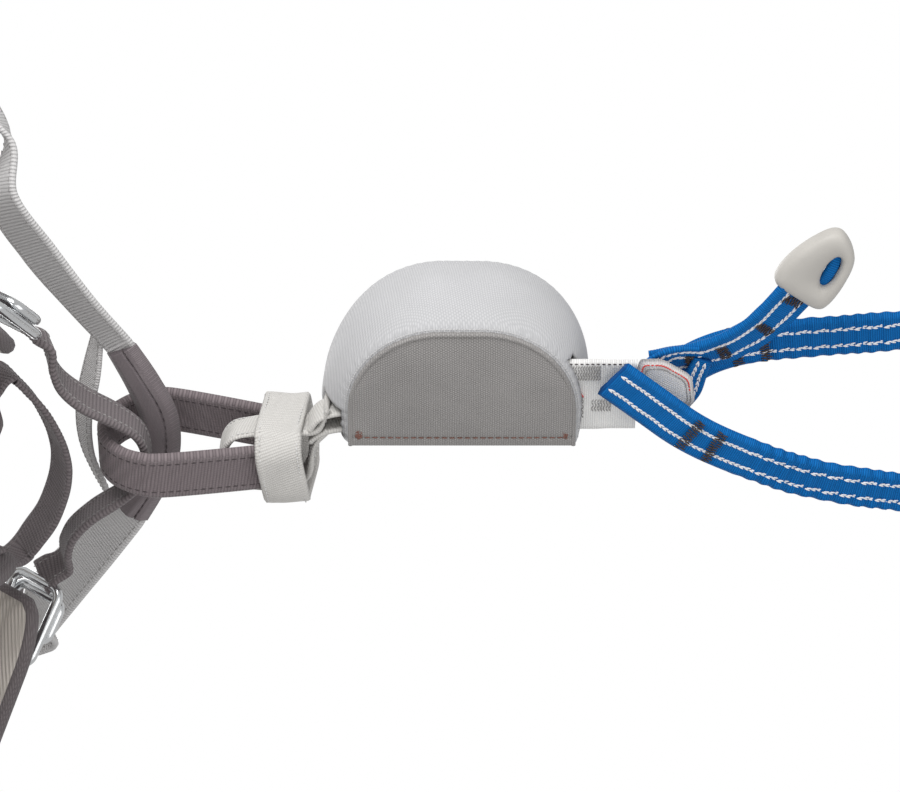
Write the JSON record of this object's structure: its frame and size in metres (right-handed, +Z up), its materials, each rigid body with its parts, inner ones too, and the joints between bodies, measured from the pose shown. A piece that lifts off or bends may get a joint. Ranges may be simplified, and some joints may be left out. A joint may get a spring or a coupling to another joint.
{
  "type": "climbing harness with absorber lanyard",
  "caption": "Sit harness with padded belt and leg loops, belay loop, double-frame buckles, gear loops and a two-arm energy-absorbing lanyard girth-hitched to the belay loop.",
  "frame": {"origin": "centre of the waist belt's opening, where a wearer's waist holds it", "axes": "+X the wearer's front, +Y the wearer's left, +Z up"},
  "size_m": [0.8306, 0.3884, 0.3057],
  "materials": {
    "dark_fabric": "woven, matt",
    "mesh_lining": "open knit",
    "foam": "closed-cell foam",
    "grey_webbing": "ribbed webbing",
    "dark_webbing": "tight webbing",
    "pale_webbing": "smooth webbing",
    "blue_webbing": "elastic webbing with white tracers",
    "elastic": "elastic band",
    "buckle_steel": "polished",
    "moulded_grey": "fine moulded grain",
    "pouch_light": "ripstop",
    "pouch_dark": "plain weave",
    "connector_alloy": "anodised",
    "steel_pin": "turned",
    "lock_sleeve": "anodised dark",
    "keeper_rubber": "matt"
  },
  "bodies": {
    "harness": {"waist_lining": "mesh_lining", "waist_foam": "foam", "waist_cover": "dark_fabric", "waist_webbing": "grey_webbing", "waist_tails": "grey_webbing", "front_strap_right": "grey_webbing", "front_strap_left": "grey_webbing", "tie_in_sleeve": "dark_webbing", "tie_in_back_strap": "grey_webbing", "leg_bridge_front": "dark_webbing", "leg_bridge_back": "dark_webbing", "leg_lining_right": "mesh_lining", "leg_foam_right": "foam", "leg_cover_right": "dark_fabric", "leg_webbing_right": "dark_webbing", "leg_lining_left": "mesh_lining", "leg_foam_left": "foam", "leg_cover_left": "dark_fabric", "leg_webbing_left": "dark_webbing", "leg_tails": "grey_webbing", "leg_buckle_frames": "buckle_steel", "waist_buckle_frames": "buckle_steel", "risers": "elastic", "riser_hooks": "moulded_grey"},
    "belay": {"belay_loop": "dark_webbing", "girth_wrap": "pale_webbing", "girth_loop": "pale_webbing"},
    "pouch": {"pouch_front_panel": "pouch_dark", "pouch_back_panel": "pouch_light", "pouch_closing_flap": "pouch_light", "pouch_gusset": "pouch_light", "tear_webbing_pack": "pale_webbing", "end_webbing": "pale_webbing", "sewn_eye": "pale_webbing"},
    "near_arm": {"near_arm": "blue_webbing", "near_connector_keeper": "keeper_rubber"},
    "far_arm": {"far_arm": "blue_webbing", "far_connector_keeper": "keeper_rubber"},
    "stub_arm": {"stub_arm": "blue_webbing", "stub_ring": "moulded_grey"},
    "haul": {"haul_loop": "dark_webbing"},
    "near_connector": {"near_connector_body": "connector_alloy", "near_connector_gate_pin": "steel_pin"},
    "near_gate": {"near_connector_gate": "connector_alloy"},
    "near_lock": {"near_connector_lock_sleeve": "lock_sleeve"},
    "far_connector": {"far_connector_body": "connector_alloy", "far_connector_gate_pin": "steel_pin"},
    "far_gate": {"far_connector_gate": "connector_alloy"},
    "far_lock": {"far_connector_lock_sleeve": "lock_sleeve"},
    "leg_slider_right": {"leg_buckle_slider_right": "buckle_steel"},
    "waist_slider_right": {"waist_buckle_slider_right": "buckle_steel"},
    "leg_slider_left": {"leg_buckle_slider_left": "buckle_steel"},
    "waist_slider_left": {"waist_buckle_slider_left": "buckle_steel"},
    "gear_front_right": {"gear_loop_front_right": "moulded_grey"},
    "gear_rear_right": {"gear_loop_rear_right": "moulded_grey"},
    "gear_front_left": {"gear_loop_front_left": "moulded_grey"},
    "gear_rear_left": {"gear_loop_rear_left": "moulded_grey"}
  },
  "joints": [
    {"name": "belay_loop_swing", "type": "hinge", "parent": "harness", "child": "belay", "pos_m": [0.1507, 0, -0.06], "axis": [0, 1, 0], "range_deg": [-35, 90]},
    {"name": "pouch_swing", "type": "hinge", "parent": "belay", "child": "pouch", "pos_m": [0.22, -0.0205, -0.068], "axis": [0, 0, 1], "range_deg": [-28, 28]},
    {"name": "near_arm_swing", "type": "hinge", "parent": "pouch", "child": "near_arm", "pos_m": [0.355, -0.0328, -0.072], "axis": [0, 0, 1], "range_deg": [-5, 60]},
    {"name": "far_arm_swing", "type": "hinge", "parent": "pouch", "child": "far_arm", "pos_m": [0.355, -0.0328, -0.072], "axis": [0, 0, 1], "range_deg": [-60, 5]},
    {"name": "stub_arm_swing", "type": "hinge", "parent": "pouch", "child": "stub_arm", "pos_m": [0.355, -0.0328, -0.072], "axis": [0, 0, 1], "range_deg": [-25, 20]},
    {"name": "near_connector_flip", "type": "hinge", "parent": "near_arm", "child": "near_connector", "pos_m": [0.60199, 0.01457, -0.082], "axis": [-0.0476, 0.9989, 0], "range_deg": [-60, 60]},
    {"name": "near_gate_opening", "type": "hinge", "parent": "near_connector", "child": "near_gate", "pos_m": [0.63441, -0.00642, -0.082], "axis": [0, 0, 1], "range_deg": [0, 24], "stiffness_Nm_per_rad": 0.05},
    {"name": "near_lock_slide", "type": "slide", "parent": "near_gate", "child": "near_lock", "axis": [-0.9999, 0.0112, 0], "range_m": [0, 0.009], "stiffness_N_per_m": 40},
    {"name": "far_connector_flip", "type": "hinge", "parent": "far_arm", "child": "far_connector", "pos_m": [0.604, -0.05173, -0.052], "axis": [-0.0222, 0.9998, 0], "range_deg": [-60, 60]},
    {"name": "far_gate_opening", "type": "hinge", "parent": "far_connector", "child": "far_gate", "pos_m": [0.63588, -0.07354, -0.052], "axis": [0, 0, 1], "range_deg": [0, 24], "stiffness_Nm_per_rad": 0.05},
    {"name": "far_lock_slide", "type": "slide", "parent": "far_gate", "child": "far_lock", "axis": [-0.9993, 0.0366, 0], "range_m": [0, 0.009], "stiffness_N_per_m": 40},
    {"name": "leg_buckle_rock_right", "type": "hinge", "parent": "harness", "child": "leg_slider_right", "pos_m": [0.0895, -0.08388, -0.07851], "axis": [0.766, 0, -0.6428], "range_deg": [0, 30]},
    {"name": "waist_buckle_rock_right", "type": "hinge", "parent": "harness", "child": "waist_slider_right", "pos_m": [0.04257, -0.17646, -0.006], "axis": [0, 0, -1], "range_deg": [0, 30]},
    {"name": "leg_buckle_rock_left", "type": "hinge", "parent": "harness", "child": "leg_slider_left", "pos_m": [0.0895, 0.08388, -0.07851], "axis": [-0.766, 0, 0.6428], "range_deg": [0, 30]},
    {"name": "waist_buckle_rock_left", "type": "hinge", "parent": "harness", "child": "waist_slider_left", "pos_m": [0.04257, 0.17646, -0.006], "axis": [0, 0, 1], "range_deg": [0, 30]},
    {"name": "gear_loop_lift_front_right", "type": "hinge", "parent": "harness", "child": "gear_front_right", "pos_m": [0.0128, -0.17563, -0.03], "axis": [-0.9903, -0.1392, 0], "range_deg": [0, 55]},
    {"name": "gear_loop_lift_rear_right", "type": "hinge", "parent": "harness", "child": "gear_rear_right", "pos_m": [-0.07346, -0.14713, -0.03], "axis": [-0.6018, 0.7986, 0], "range_deg": [0, 55]},
    {"name": "gear_loop_lift_front_left", "type": "hinge", "parent": "harness", "child": "gear_front_left", "pos_m": [0.0128, 0.17563, -0.03], "axis": [0.9903, -0.1392, 0], "range_deg": [0, 55]},
    {"name": "gear_loop_lift_rear_left", "type": "hinge", "parent": "harness", "child": "gear_rear_left", "pos_m": [-0.07346, 0.14713, -0.03], "axis": [0.6018, 0.7986, 0], "range_deg": [0, 55]},
    {"name": "haul_loop_lift", "type": "hinge", "parent": "harness", "child": "haul", "pos_m": [-0.1155, 0, -0.005], "axis": [0, 1, 0], "range_deg": [0, 60]}
  ]
}
